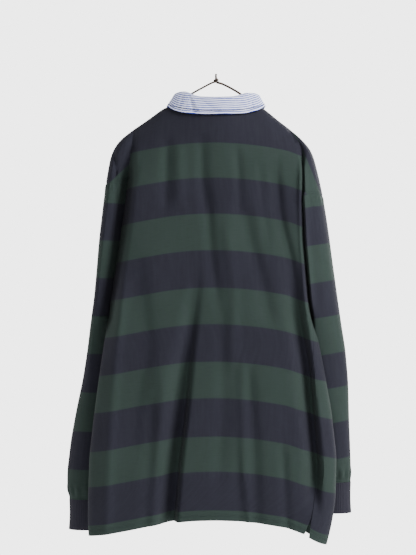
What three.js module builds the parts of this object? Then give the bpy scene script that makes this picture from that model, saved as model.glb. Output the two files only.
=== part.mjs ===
// A long-sleeved rugby shirt hanging on a wire hanger, in millimetres, +Z up.
// The shirt's back faces +Y, the wearer's left is +X, and the origin is the inner top of the hook.
import * as THREE from 'three';

// Driving sizes of the shirt
const clothThickness = 1.4;
const seamGap = 0.8;
const valleyGap = 0.8;
const backDepth = 46;
const frontDepth = 42;
const drapeReach = 132;
const backCrown = 0.12;
const frontCrown = 0.36;
const neckHalfWidth = 80;
const backNeckLevel = -70;
const frontNeckLevel = -128;
const underarmLevel = -470;
const placketBottom = -298;
const placketSlitHalf = 4;
const placketWidth = 32;
const ventTop = -838;
const ventLength = 60;
const ventOpening = 7;

// Driving sizes of the hanger
const wireRadius = 1.5;
const hookRadius = 8;
const barLevel = -148;

const cloth = {
  jersey: new THREE.MeshStandardMaterial({ color: 0x34413d, roughness: 0.9 }),
  rib: new THREE.MeshStandardMaterial({ color: 0x2b2c38, roughness: 0.95 }),
  shirting: new THREE.MeshStandardMaterial({ color: 0xb9bedb, roughness: 0.85 }),
  placket: new THREE.MeshStandardMaterial({ color: 0x2f303c, roughness: 0.9 }),
};
const wireMaterial = new THREE.MeshStandardMaterial({ color: 0x45413c, roughness: 0.4, metalness: 1 });
const buttonMaterial = new THREE.MeshStandardMaterial({ color: 0x26262c, roughness: 0.5 });

// Where the whole garment ends on each side, from the shoulder slope down to the cuffs
const outline = [
  { z: -13, left: 0, right: 0 },
  { z: -24, left: 22, right: 26 },
  { z: -35, left: 46, right: 46 },
  { z: -57, left: 84, right: 78 },
  { z: -68, left: 105, right: 95 },
  { z: -88, left: 132, right: 119 },
  { z: -107, left: 160, right: 144 },
  { z: -127, left: 187, right: 167 },
  { z: -146, left: 200, right: 184 },
  { z: -165, left: 206, right: 191 },
  { z: -204, left: 213, right: 201 },
  { z: -243, left: 218, right: 209 },
  { z: -321, left: 227, right: 221 },
  { z: -438, left: 239, right: 237 },
  { z: -477, left: 245, right: 243 },
  { z: -536, left: 254, right: 254 },
  { z: -596, left: 264, right: 260 },
  { z: -656, left: 276, right: 263 },
  { z: -716, left: 287, right: 266 },
  { z: -776, left: 294, right: 268 },
  { z: -836, left: 293, right: 266 },
];

// Where the body turns round to the other panel: the armhole valley, then the body's own edge
const bodyEdge = [
  { z: -107, left: 160, right: 144 },
  { z: -130, left: 161, right: 160 },
  { z: -147, left: 164, right: 168 },
  { z: -200, left: 171, right: 168 },
  { z: -244, left: 177, right: 168 },
  { z: -321, left: 188, right: 171 },
  { z: -438, left: 206, right: 181 },
  { z: -470, left: 210, right: 187 },
  { z: -515, left: 216, right: 198 },
  { z: -583, left: 226, right: 211 },
  { z: -651, left: 235, right: 223 },
  { z: -738, left: 245, right: 233 },
  { z: -826, left: 248, right: 231 },
  { z: -870, left: 248, right: 222 },
  { z: -910, left: 246, right: 212 },
];

// How the body's edge lies in depth, and how wide its rounding is
const bodySide = [
  { z: -107, middle: 0, rounding: 12, softness: 0 },
  { z: -200, middle: -8, rounding: 20, softness: 0 },
  { z: -300, middle: -14, rounding: 26, softness: 0 },
  { z: -470, middle: -28, rounding: 28, softness: 0 },
  { z: -485, middle: -12, rounding: 29, softness: 0 },
  { z: -500, middle: 0, rounding: 30, softness: 0.1 },
  { z: -540, middle: 8, rounding: 34, softness: 0.5 },
  { z: -600, middle: 8, rounding: 42, softness: 1 },
  { z: -910, middle: 8, rounding: 46, softness: 1 },
];

// Side seams below the underarm: the left one lies on the front, the right one in a fold of the back
const sideSeam = [
  { z: -470, left: 210, right: 187 },
  { z: -515, left: 209, right: 188 },
  { z: -583, left: 192, right: 184 },
  { z: -640, left: 183, right: 187 },
  { z: -700, left: 181, right: 193 },
  { z: -766, left: 181, right: 198 },
  { z: -840, left: 180, right: 186 },
  { z: -910, left: 178, right: 172 },
];

// The sleeve's oval: half depth front to back, its middle, and half the armhole's opening
const sleeveOval = [
  { z: -107, depth: 1, middle: 0, opening: 1, pointed: 1 },
  { z: -115, depth: 14, middle: 0, opening: 14, pointed: 1 },
  { z: -134, depth: 24, middle: -1, opening: 22, pointed: 1 },
  { z: -165, depth: 33, middle: -4, opening: 22, pointed: 1 },
  { z: -204, depth: 40, middle: -8, opening: 21, pointed: 1 },
  { z: -243, depth: 46, middle: -10, opening: 20, pointed: 1 },
  { z: -321, depth: 50, middle: -16, opening: 15, pointed: 1 },
  { z: -400, depth: 50, middle: -22, opening: 8, pointed: 1 },
  { z: -470, depth: 48, middle: -28, opening: 1.2, pointed: 1 },
  { z: -500, depth: 47, middle: -36, opening: 0, pointed: 0.9 },
  { z: -540, depth: 45, middle: -48, opening: 0, pointed: 0.5 },
  { z: -600, depth: 42, middle: -60, opening: 0, pointed: 0 },
  { z: -700, depth: 38, middle: -68, opening: 0, pointed: 0 },
  { z: -780, depth: 34, middle: -74, opening: 0, pointed: 0 },
  { z: -840, depth: 30, middle: -76, opening: 0, pointed: 0 },
];

// The sleeve's inner edge, hidden beside and in front of the body
const sleeveInner = [
  { z: -107, left: 160, right: 144 },
  { z: -470, left: 211, right: 188 },
  { z: -540, left: 209, right: 188 },
  { z: -600, left: 207, right: 188 },
  { z: -700, left: 213, right: 191 },
  { z: -780, left: 222, right: 198 },
  { z: -840, left: 226, right: 203 },
];

// Cuff ends and the width and depth of each cuff
const cuffs = {
  left: { top: -833, bottom: -893, outer: 290, width: 62 },
  right: { top: -799, bottom: -860, outer: 267, width: 62 },
};
const cuffDepth = 25;
const cuffMiddle = -76;

// How far a line of the cloth hangs below its level at the centre, across the shirt
const droop = [
  { x: -240, drop: 47 },
  { x: -185, drop: 33 },
  { x: -138, drop: 15 },
  { x: -92, drop: 7 },
  { x: -46, drop: 2 },
  { x: 0, drop: 0 },
  { x: 46, drop: 1 },
  { x: 92, drop: 6 },
  { x: 138, drop: 14 },
  { x: 185, drop: 23 },
  { x: 250, drop: 34 },
];

// Folds: a centre line down the cloth, with its depth into the cloth, its width and how it fades in
const folds = {
  back: [
    { depth: 22, width: 10, fade: 70, line: [{ z: -432, x: 40 }, { z: -640, x: 61 }, { z: -900, x: 88 }] },
    {
      depth: 24,
      width: 11,
      fade: 90,
      line: [{ z: -150, x: -112 }, { z: -278, x: -124 }, { z: -418, x: -153 }, { z: -555, x: -178 },
        { z: -690, x: -192 }, { z: -770, x: -199 }, { z: -840, x: -186 }, { z: -940, x: -168 }],
    },
    { depth: 6, width: 14, fade: 60, line: [{ z: -263, x: 8 }, { z: -386, x: 14 }, { z: -450, x: 24 }] },
    { depth: 4, width: 12, fade: 40, line: [{ z: -134, x: 94 }, { z: -260, x: 96 }] },
    { depth: 4, width: 12, fade: 40, line: [{ z: -134, x: 27 }, { z: -260, x: 25 }] },
    { depth: 7, width: 16, fade: 70, line: [{ z: -374, x: 150 }, { z: -528, x: 132 }, { z: -700, x: 156 }] },
    { depth: 7, width: 15, fade: 60, line: [{ z: -269, x: -54 }, { z: -400, x: -88 }, { z: -467, x: -102 }] },
    { depth: 5, width: 14, fade: 60, line: [{ z: -586, x: -66 }, { z: -880, x: -78 }] },
  ],
  front: [
    { depth: 12, width: 18, fade: 90, line: [{ z: -330, x: 62 }, { z: -600, x: 78 }, { z: -900, x: 96 }] },
    { depth: 13, width: 18, fade: 90, line: [{ z: -380, x: -70 }, { z: -600, x: -88 }, { z: -900, x: -104 }] },
    { depth: 8, width: 20, fade: 90, line: [{ z: -500, x: 8 }, { z: -900, x: -6 }] },
    { depth: 8, width: 14, fade: 60, line: [{ z: -240, x: 118 }, { z: -440, x: 140 }] },
    { depth: 8, width: 14, fade: 60, line: [{ z: -240, x: -112 }, { z: -440, x: -128 }] },
  ],
};

const smooth = (t) => {
  const c = Math.min(1, Math.max(0, t));
  return c * c * (3 - 2 * c);
};

// Reads one column of a table whose rows run in order of another column
function look(table, key, value, column) {
  const rising = table[table.length - 1][key] > table[0][key];
  let row = 0;
  const beyond = (next) => (rising ? value > next : value < next);
  while (row < table.length - 2 && beyond(table[row + 1][key])) row++;
  const span = table[row + 1][key] - table[row][key];
  const t = span === 0 ? 0 : Math.min(1, Math.max(0, (value - table[row][key]) / span));
  return THREE.MathUtils.lerp(table[row][column], table[row + 1][column], t);
}

const sideOf = (x) => (x >= 0 ? 'left' : 'right');
const outlineTop = (x) => look(outline, sideOf(x), Math.abs(x), 'z');
const dome = (t) => Math.sqrt(1 - (1 - Math.min(1, Math.max(0, t))) ** 2);
const dropAt = (x) => look(droop, 'x', x, 'drop');

function foldDepth(face, x, z) {
  let sum = 0;
  for (const { line, depth, width, fade } of folds[face]) {
    const [top, bottom] = [line[0].z, line[line.length - 1].z];
    const strength = smooth((top + fade / 2 - z) / fade) * smooth((z - bottom + fade / 2) / fade);
    sum += strength * depth * Math.exp(-(((x - look(line, 'z', z, 'x')) / width) ** 2));
  }
  return sum;
}

// Depth of the back or front panel at a place on it
function panelDepth(face, x, z) {
  const edge = look(bodyEdge, 'z', z, sideOf(x));
  const sign = face === 'back' ? 1 : -1;
  const [depth, crown] = face === 'back' ? [backDepth, backCrown] : [frontDepth, frontCrown];
  let y = sign * depth * dome((outlineTop(x) - z) / drapeReach) * (1 - crown * (x / edge) ** 2);
  y -= sign * foldDepth(face, x, z);
  const opening = z > underarmLevel ? sign * look(sleeveOval, 'z', z, 'opening') : 0;
  const middle = look(bodySide, 'z', z, 'middle');
  const floor = (z > underarmLevel ? look(sleeveOval, 'z', z, 'middle') : middle) + opening;
  const t = (edge - Math.abs(x)) / look(bodySide, 'z', z, 'rounding');
  if (t >= 1) return y;
  const wall = 1 - (1 - Math.max(0, t)) ** 2.2;
  return floor + (y - floor) * THREE.MathUtils.lerp(wall, dome(t), look(bodySide, 'z', z, 'softness'));
}

// A point of the closed body section at one cloth level: turn runs -1 to 1 over the back
// and 1 to 3 over the front
function bodyPoint(level, turn, edgeInset = 0, face = turn <= 1 ? 'back' : 'front') {
  const across = turn <= 1 ? Math.sin((turn * Math.PI) / 2) : Math.sin(((2 - turn) * Math.PI) / 2);
  let z = level;
  let x = 0;
  for (let pass = 0; pass < 6; pass++) {
    const left = look(bodyEdge, 'z', z, 'left') - edgeInset;
    const right = look(bodyEdge, 'z', z, 'right') - edgeInset;
    x = across > 0 ? across * left : across * right;
    z = level - dropAt(x);
  }
  return new THREE.Vector3(x, panelDepth(face, x, z), z);
}

// The neck and shoulder edge of a panel, from the right valley (-1) to the left one (1)
const shoulderEnd = { left: 160, right: 144 };
function topPoint(face, across) {
  return neckPoint(face, across > 0 ? across * shoulderEnd.left : across * shoulderEnd.right);
}

function neckPoint(face, x) {
  const reach = Math.min(1, Math.abs(x) / neckHalfWidth);
  const neck = face === 'back' ? backNeckLevel : frontNeckLevel;
  const power = face === 'back' ? 6 : 3;
  const shoulder = outlineTop(neckHalfWidth * Math.sign(x || 1));
  const z = reach < 1 ? THREE.MathUtils.lerp(neck, shoulder, reach ** power) : outlineTop(x);
  const sign = face === 'back' ? 1 : -1;
  return new THREE.Vector3(x, Math.abs(panelDepth(face, x, z)) * sign + sign * seamGap * 0.5, z);
}

// Cloth levels of the rows: the first ones fan down from the neck and shoulder edge
const fanRows = 7;
const firstLevel = -172;
const tabLevels = { left: -191, right: -209 };
const levels = [firstLevel, tabLevels.left, tabLevels.right, -245, -281, -317, -353, -389, -420, -447, -466];
levels.push(-500, -535, -570, -610, -650, -690, -730, -770, -803, -832, -860.5);

// One row of a panel as fine points in order, from its first seam to its last
function rowPoints(face, row) {
  const fine = 240;
  const points = [];
  if (row < fanRows) {
    const down = (row / fanRows) ** 1.5;
    for (let i = 0; i <= fine; i++) {
      const turn = -1 + (2 * i) / fine;
      const faceTurn = face === 'back' ? turn : 2 - turn;
      const top = topPoint(face, Math.sin((turn * Math.PI) / 2));
      const low = bodyPoint(firstLevel, faceTurn, 0, face);
      const z = THREE.MathUtils.lerp(top.z, low.z, down);
      const x = row === 0 ? top.x : THREE.MathUtils.lerp(top.x, low.x, down);
      const edge = look(bodyEdge, 'z', z, sideOf(x));
      const placed = Math.abs(turn) === 1 ? Math.sign(turn) * edge : x;
      const sign = face === 'back' ? 1 : -1;
      const y = row === 0 ? top.y : panelDepth(face, placed, z) + sign * seamGap * 0.5 * (1 - down);
      points.push(new THREE.Vector3(row === 0 ? top.x : placed, y, z));
    }
    if (face === 'front') points.reverse();
    return points;
  }
  const level = levels[row - fanRows];
  const edgeZ = level - dropAt(200);
  const open = edgeZ > underarmLevel;
  const seams = { right: seamTurn(level, 'right'), left: seamTurn(level, 'left') };
  const turns = open ? { right: -1, left: 1 } : seams;
  const from = face === 'back' ? turns.right : turns.left;
  const to = face === 'back' ? turns.left : turns.right + 4;
  const inset = open && level < tabLevels.left ? valleyGap : 0;
  for (let i = 0; i <= fine; i++) {
    const turn = from + ((to - from) * i) / fine;
    const onFace = turn > 3 && !open ? 'back' : undefined;
    points.push(bodyPoint(level, onFace ? turn - 4 : turn, inset, open ? face : onFace));
  }
  return points;
}

// Where a side seam crosses a cloth level, as a turn round the section
function seamTurn(level, side) {
  let [low, high] = side === 'right' ? [-1, -0.2] : [1.8, 1];
  for (let step = 0; step < 24; step++) {
    const middle = (low + high) / 2;
    const point = bodyPoint(level, middle);
    const beyond = Math.abs(point.x) > look(sideSeam, 'z', point.z, side);
    if (side === 'right' ? beyond : !beyond) low = middle;
    else high = middle;
  }
  return (low + high) / 2;
}

// Spreads a row's columns evenly along the cloth, closer together where a deep fold runs
function spread(points, count, face, trimStart, trimEnd) {
  const run = [0];
  for (let i = 1; i < points.length; i++) {
    const middle = points[i].clone().lerp(points[i - 1], 0.5);
    const weight = 1 + 0.12 * Math.abs(foldDepth(face, middle.x, middle.z));
    run.push(run[i - 1] + points[i].distanceTo(points[i - 1]) * weight);
  }
  const total = run[run.length - 1];
  const columns = [];
  let at = 0;
  for (let c = 0; c <= count; c++) {
    const wanted = THREE.MathUtils.lerp(trimStart, total - trimEnd, c / count);
    while (at < run.length - 2 && run[at + 1] < wanted) at++;
    const t = (wanted - run[at]) / (run[at + 1] - run[at]);
    columns.push(points[at].clone().lerp(points[at + 1], t));
  }
  return columns;
}

const keyOf = (p) => `${p.x.toFixed(3)},${p.y.toFixed(3)},${p.z.toFixed(3)}`;

// Joins grids of points into one sheet and gives it thickness, as one closed body
function wall(grids, thickness, edgeNormals = new Map()) {
  const index = new Map();
  const points = [];
  const idOf = (p) => {
    const key = keyOf(p);
    if (!index.has(key)) {
      index.set(key, points.length);
      points.push(p);
    }
    return index.get(key);
  };
  const triangles = [];
  const add = (a, b, c) => {
    if (a !== b && b !== c && a !== c) triangles.push([a, b, c]);
  };
  for (const grid of grids) {
    for (let r = 0; r + 1 < grid.length; r++) {
      for (let c = 0; c + 1 < grid[r].length; c++) {
        const corners = [grid[r][c], grid[r][c + 1], grid[r + 1][c + 1], grid[r + 1][c]];
        const [a, b, d, e] = corners.map(idOf);
        if (corners[0].distanceTo(corners[2]) < corners[1].distanceTo(corners[3])) {
          add(a, b, d);
          add(a, d, e);
        } else {
          add(a, b, e);
          add(b, d, e);
        }
      }
    }
  }
  const normals = points.map(() => new THREE.Vector3());
  const edges = new Map();
  for (const [a, b, c] of triangles) {
    const ab = points[b].clone().sub(points[a]);
    const face = ab.cross(points[c].clone().sub(points[a]));
    for (const id of [a, b, c]) normals[id].add(face);
    for (const [from, to] of [[a, b], [b, c], [c, a]]) edges.set(`${from},${to}`, [from, to]);
  }
  const positions = [];
  points.forEach((point, id) => {
    const given = edgeNormals.get(keyOf(point));
    const out = (given || normals[id].normalize()).clone().multiplyScalar(thickness / 2);
    positions.push(point.clone().add(out), point.clone().sub(out));
  });
  const faces = [];
  for (const [a, b, c] of triangles) {
    faces.push([2 * a, 2 * b, 2 * c], [2 * a + 1, 2 * c + 1, 2 * b + 1]);
  }
  for (const [from, to] of edges.values()) {
    if (edges.has(`${to},${from}`)) continue;
    faces.push([2 * from, 2 * from + 1, 2 * to + 1], [2 * from, 2 * to + 1, 2 * to]);
  }
  const geometry = new THREE.BufferGeometry();
  const numbers = positions.flatMap((p) => p.toArray());
  geometry.setAttribute('position', new THREE.Float32BufferAttribute(numbers, 3));
  geometry.setIndex(faces.flat());
  geometry.computeVertexNormals();
  return geometry;
}

// A point round the sleeve: angle 0 is its inner edge, pi its outer edge, in the half that faces back
function sleevePoint(side, z, angle) {
  const sign = side === 'left' ? 1 : -1;
  const open = z > underarmLevel;
  const outer = look(outline, 'z', z, side);
  const inner = open ? look(bodyEdge, 'z', z, side) + valleyGap : look(sleeveInner, 'z', z, side);
  const depth = look(sleeveOval, 'z', z, 'depth');
  const pointed = look(sleeveOval, 'z', z, 'pointed');
  const start = sleeveStart(z);
  const half = (outer - inner) / (1 + Math.cos(start));
  const middle = look(sleeveOval, 'z', z, 'middle');
  const rise = Math.sin(angle);
  const power = Math.cos(angle) > 0 ? 1 + pointed : 1;
  const y = middle + depth * Math.sign(rise) * Math.abs(rise) ** power;
  return new THREE.Vector3(sign * (outer - half - half * Math.cos(angle)), y, z);
}

function sleeveStart(z) {
  const opening = look(sleeveOval, 'z', z, 'opening');
  const ratio = Math.min(1, opening / look(sleeveOval, 'z', z, 'depth'));
  return Math.asin(ratio ** (1 / (1 + look(sleeveOval, 'z', z, 'pointed'))));
}

// The part of a panel that hangs over the hanger's tip, from the valley out to the shoulder seam
function tab(face, side, valley) {
  const columns = 4;
  const sign = face === 'back' ? 1 : -1;
  return valley.map((point, row) => {
    const line = [];
    for (let c = 0; c <= columns; c++) {
      const start = sleeveStart(point.z);
      const angle = THREE.MathUtils.lerp(start, Math.PI, c / columns);
      const place = sleevePoint(side, point.z, sign * angle);
      const outward = c / columns;
      place.x += (side === 'left' ? -1 : 1) * valleyGap * (1 - outward);
      place.y += sign * seamGap * 0.5 * outward;
      line.push(c === 0 || row === 0 ? point : place);
    }
    const valleyFirst = (face === 'back') === (side === 'left');
    return valleyFirst ? line : line.reverse();
  });
}

// A body panel: its main grid, with a tab over each shoulder
const tabRow = (side) => fanRows + levels.indexOf(tabLevels[side]);
const closedRow = fanRows + levels.findIndex((level) => level - dropAt(200) <= underarmLevel);
const panelColumns = { back: 34, front: 24 };
function panel(face) {
  const rows = [];
  const slitRows = [];
  for (let row = 0; row < fanRows + levels.length; row++) {
    const points = rowPoints(face, row);
    const end = points[points.length - 1];
    const opening = THREE.MathUtils.mapLinear(end.z, ventTop, ventTop - ventLength, 0, ventOpening / 2);
    const trim = row >= closedRow ? seamGap / 2 + Math.max(0, opening) : 0;
    if (face === 'back') {
      rows.push(spread(points, panelColumns.back, face, trim, trim));
      continue;
    }
    const centre = points.findIndex((p) => p.x <= 0);
    const halves = [points.slice(0, centre + 1), points.slice(centre)];
    const leftHalf = spread(halves[0], panelColumns.front / 2, face, trim, 0);
    const rightHalf = spread(halves[1], panelColumns.front / 2, face, 0, trim);
    rows.push([...leftHalf, ...rightHalf.slice(1)]);
    if (end.z > placketBottom || leftHalf[leftHalf.length - 1].z > placketBottom) {
      const [a, b] = [leftHalf[leftHalf.length - 1], rightHalf[0]].map((p) => p.clone());
      a.x += placketSlitHalf;
      b.x -= placketSlitHalf;
      slitRows.push([a, b]);
    }
  }
  const last = panelColumns[face];
  const column = (side) => ((side === 'left') === (face === 'back') ? last : 0);
  const edgeNormals = new Map();
  const ridge = (p) => {
    const slope = outlineTop(p.x + 1) - outlineTop(p.x - 1);
    return new THREE.Vector3(-slope, 0, 2).normalize();
  };
  for (const point of rows[0]) {
    if (Math.abs(point.x) > neckHalfWidth) edgeNormals.set(keyOf(point), ridge(point));
  }
  const half = last / 2;
  const withSlit = (row, r, pick) => row.map((point, c) => {
    const onSlit = c === (pick ? 0 : half) && slitRows[r];
    return onSlit ? slitRows[r][pick] : point;
  });
  const grids = face === 'back' ? [rows] : [
    rows.map((row, r) => withSlit(row.slice(0, half + 1), r, 0)),
    rows.map((row, r) => withSlit(row.slice(half), r, 1)),
  ];
  for (const side of ['left', 'right']) {
    const grid = tab(face, side, rows.slice(0, tabRow(side) + 1).map((r) => r[column(side)]));
    const outerFirst = (face === 'back') !== (side === 'left');
    grid.slice(1).forEach((line) => {
      const point = outerFirst ? line[0] : line[line.length - 1];
      const slope = look(outline, 'z', point.z + 4, side) - look(outline, 'z', point.z - 4, side);
      const sign = side === 'left' ? 1 : -1;
      edgeNormals.set(keyOf(point), new THREE.Vector3(sign * 8, 0, -slope).normalize());
    });
    grids.push(grid);
  }
  return { rows, grids, edgeNormals };
}

// The normal that both panels share at a side seam, so that their edges meet square
function shareSeamNormals(back, front) {
  for (let row = closedRow; row < back.rows.length; row++) {
    for (const [b, bIn, f, fIn] of [
      [back.rows[row].length - 1, back.rows[row].length - 2, 0, 1],
      [0, 1, front.rows[row].length - 1, front.rows[row].length - 2],
    ]) {
      const onBack = back.rows[row][b];
      const onFront = front.rows[row][f];
      const along = front.rows[row][fIn].clone().sub(back.rows[row][bIn]);
      if (b === 0) along.negate();
      const down = new THREE.Vector3(0, 0, -1);
      const normal = along.cross(down).normalize();
      back.edgeNormals.set(keyOf(onBack), normal);
      front.edgeNormals.set(keyOf(onFront), normal);
    }
  }
}

function mesh(name, geometry, material) {
  const piece = new THREE.Mesh(geometry, material);
  piece.name = name;
  return piece;
}

// A sleeve: open to the body down to the underarm, then a closed tube down to its cuff
function sleeve(side, top) {
  const columns = 16;
  const bottom = cuffs[side].top + 0.3;
  const heights = [top, -262, -300, -338, -376, -410, -440, underarmLevel, -500, -536, -572, -612];
  for (let z = -652; z > bottom + 24; z -= 40) heights.push(z);
  heights.push(bottom + 14, bottom);
  const grid = heights.map((z) => {
    const start = z > underarmLevel ? sleeveStart(z) : 0;
    const line = [];
    for (let c = 0; c <= columns; c++) {
      const angle = THREE.MathUtils.lerp(start, 2 * Math.PI - start, c / columns);
      const point = sleevePoint(side, z, c === columns && start === 0 ? 0 : angle);
      if (z === bottom) point.lerp(cuffPoint(side, z, angle), 0.8);
      line.push(point);
    }
    if (start === 0) line[columns] = line[0];
    return side === 'left' ? line : line.reverse();
  });
  return wall([grid], clothThickness);
}

function cuffPoint(side, z, angle) {
  const { outer, width } = cuffs[side];
  const sign = side === 'left' ? 1 : -1;
  const x = sign * (outer - width / 2 - (width / 2) * Math.cos(angle));
  return new THREE.Vector3(x, cuffMiddle + cuffDepth * Math.sin(angle), z);
}

function cuff(side) {
  const columns = 24;
  const { top, bottom } = cuffs[side];
  const grid = [0, 0.08, 0.5, 0.92, 1].map((down) => {
    const line = [];
    const z = THREE.MathUtils.lerp(top, bottom, down);
    for (let c = 0; c <= columns; c++) {
      line.push(cuffPoint(side, z, (2 * Math.PI * (c % columns)) / columns));
    }
    line[columns] = line[0];
    return side === 'left' ? line : line.reverse();
  });
  return wall([grid], 2);
}

// The collar's height, roll and edge, by the angle from the middle of the back
const collarShape = [
  { angle: 0, top: -47, edge: -80, roll: 5, out: 8, shift: 0 },
  { angle: 25, top: -46, edge: -79.5, roll: 5, out: 8, shift: 0 },
  { angle: 45, top: -38, edge: -77, roll: 5, out: 9, shift: 0 },
  { angle: 65, top: -38, edge: -71, roll: 6, out: 12, shift: 0 },
  { angle: 90, top: -42, edge: -58.5, roll: 6, out: 16, shift: 0 },
  { angle: 102, top: -48, edge: -67, roll: 6, out: 15, shift: 0 },
  { angle: 115, top: -60, edge: -92, roll: 6, out: 15, shift: 0 },
  { angle: 140, top: -86, edge: -140, roll: 6, out: 11, shift: 4 },
  { angle: 165, top: -105, edge: -170, roll: 6, out: 10, shift: 16 },
  { angle: 176, top: -108, edge: -182, roll: 6, out: 10, shift: 32 },
];
const collarRows = [
  { rise: 0, out: 0 },
  { rise: 0.5, out: -0.15 },
  { rise: 0.88, out: 0 },
  { rise: 1, out: 0.45 },
  { rise: 0.9, out: 1 },
];
const collarThickness = 1.8;

function collar() {
  const columns = 36;
  const grid = [...collarRows, { fall: 0.5 }, { fall: 1 }].map(() => []);
  for (let c = 0; c <= columns; c++) {
    const angle = THREE.MathUtils.lerp(-176, 176, c / columns);
    const radians = THREE.MathUtils.degToRad(angle);
    const size = Math.abs(angle);
    const at = (column) => look(collarShape, 'angle', size, column);
    const x = -neckHalfWidth * Math.sin(radians);
    const base = neckPoint(size <= 90 ? 'back' : 'front', x);
    base.z += 1.4;
    const out = new THREE.Vector3(-Math.sin(radians) / 2, Math.cos(radians), 0).normalize();
    const sideways = Math.sign(x) * at('shift');
    collarRows.forEach((row, r) => {
      const point = base.clone().addScaledVector(out, row.out * at('roll'));
      point.z = THREE.MathUtils.lerp(base.z, at('top'), row.rise);
      grid[r].push(point);
    });
    const rolled = grid[collarRows.length - 1][c];
    [0.5, 1].forEach((fall, r) => {
      const point = rolled.clone().addScaledVector(out, fall * (at('out') - at('roll')));
      point.z = THREE.MathUtils.lerp(rolled.z, at('edge'), fall);
      point.x += sideways * fall;
      grid[collarRows.length + r].push(point);
    });
  }
  return wall([grid], collarThickness);
}

// A strip on the front's own surface, moved out by its own thickness
const placketThickness = 1.6;
function placket() {
  const lift = clothThickness / 2 + 0.3 + placketThickness / 2;
  const grid = [];
  for (let z = frontNeckLevel - 4; z > placketBottom - 14; z -= 14) {
    const line = [];
    for (const across of [1, 0.5, 0, -0.5, -1]) {
      const x = (across * placketWidth) / 2;
      const nearNeck = 1.8 * Math.exp((z - frontNeckLevel) / 14);
      line.push(new THREE.Vector3(x, panelDepth('front', x, z) - lift - nearNeck, z));
    }
    grid.push(line);
  }
  return wall([grid], placketThickness);
}

// A flat shirt button with a raised rim, its axis along Y
const buttonRadius = 5.75;
const buttonLevels = [-150, -205, -260];
function button() {
  const profile = [
    [0, 0], [5.2, 0], [buttonRadius, 0.6], [buttonRadius, 2], [5.2, 2.6], [4.3, 2.6], [3.6, 2], [0, 2],
  ];
  const geometry = new THREE.LatheGeometry(profile.map(([r, h]) => new THREE.Vector2(r, h)), 20);
  geometry.rotateX(Math.PI);
  return geometry;
}

// The hanger is one wire: hook, right arm, right tip, bar, left tip, left arm, and a coil round the neck
const neckCoil = { radius: 3.4, from: -13.5, pitch: 3.6, turns: 1.5 };
const arm = [
  { side: 'right', out: 1.5, z: -14.2 },
  { side: 'right', out: 5.5, z: -15.6 },
  { side: 'right', out: 11, z: -16.8 },
  { side: 'right', out: 25, z: -23.4 },
  { side: 'right', out: 46, z: -35.4 },
];
function hangerPath() {
  const path = [];
  const centre = hookRadius + wireRadius;
  path.push(new THREE.Vector3(0, -2 * centre - 1, -hookRadius - 4));
  for (let step = 0; step <= 12; step++) {
    const turn = Math.PI * (1 - step / 12);
    path.push(new THREE.Vector3(0, -centre + centre * Math.cos(turn), -hookRadius + centre * Math.sin(turn)));
  }
  path.push(new THREE.Vector3(0, 0, -11.5));
  for (const { out, z } of arm) path.push(new THREE.Vector3(-out, 0, z));
  const under = 3.4;
  for (const x of [-78, -95, -119, -144]) path.push(new THREE.Vector3(x, 0, outlineTop(x) - under));
  const tip = (x, z) => path.push(new THREE.Vector3(x, 0, z));
  for (const [x, z] of [[-155, -120.5], [-162, -128], [-164, -136], [-161, -144], [-153, -149]]) tip(x, z);
  for (let x = -130; x < 160; x += 40) tip(x, barLevel - 2);
  for (const [x, z] of [[171, -149], [180, -144], [183, -136], [181, -128], [173, -120.5]]) tip(x, z);
  for (const x of [160, 132, 105, 84]) path.push(new THREE.Vector3(x, 0, outlineTop(x) - under));
  const joins = [[46, 0, -35.4], [24, 0.8, -23.6], [10, 2.6, -16.4], [4, 3.3, -14.2]];
  for (const place of joins) path.push(new THREE.Vector3(...place));
  const steps = Math.round(neckCoil.turns * 10);
  for (let step = 0; step <= steps; step++) {
    const turn = (neckCoil.turns * step) / steps;
    const angle = Math.PI / 2 + 2 * Math.PI * turn;
    const [x, y] = [neckCoil.radius * Math.cos(angle), neckCoil.radius * Math.sin(angle)];
    path.push(new THREE.Vector3(x, y, neckCoil.from + neckCoil.pitch * turn));
  }
  return path;
}

// A round wire along points, closed at both ends
function wire(path, radius, sides) {
  const positions = [];
  const faces = [];
  let across = new THREE.Vector3(1, 0, 0);
  path.forEach((point, i) => {
    const before = path[Math.max(0, i - 1)];
    const after = path[Math.min(path.length - 1, i + 1)];
    const along = after.clone().sub(before).normalize();
    across = across.clone().addScaledVector(along, -across.dot(along)).normalize();
    const other = along.clone().cross(across);
    for (let s = 0; s < sides; s++) {
      const angle = (2 * Math.PI * s) / sides;
      const place = point.clone().addScaledVector(across, radius * Math.cos(angle));
      positions.push(place.addScaledVector(other, radius * Math.sin(angle)));
    }
  });
  for (let i = 0; i + 1 < path.length; i++) {
    for (let s = 0; s < sides; s++) {
      const [a, b] = [i * sides + s, i * sides + ((s + 1) % sides)];
      faces.push([a, b, b + sides], [a, b + sides, a + sides]);
    }
  }
  const last = (path.length - 1) * sides;
  for (let s = 1; s + 1 < sides; s++) {
    faces.push([0, s + 1, s], [last, last + s, last + s + 1]);
  }
  const geometry = new THREE.BufferGeometry();
  const numbers = positions.flatMap((p) => p.toArray());
  geometry.setAttribute('position', new THREE.Float32BufferAttribute(numbers, 3));
  geometry.setIndex(faces.flat());
  geometry.computeVertexNormals();
  return geometry;
}

const back = panel('back');
const front = panel('front');
shareSeamNormals(back, front);

const shirt = new THREE.Group();
shirt.add(mesh('back', wall(back.grids, clothThickness, back.edgeNormals), cloth.jersey));
shirt.add(mesh('front', wall(front.grids, clothThickness, front.edgeNormals), cloth.jersey));
for (const side of ['left', 'right']) {
  const column = side === 'left' ? back.rows[0].length - 1 : 0;
  const top = back.rows[tabRow(side)][column].z - clothThickness * 0.3;
  shirt.add(mesh(`sleeve_${side}`, sleeve(side, top), cloth.jersey));
  shirt.add(mesh(`cuff_${side}`, cuff(side), cloth.rib));
}

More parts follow.
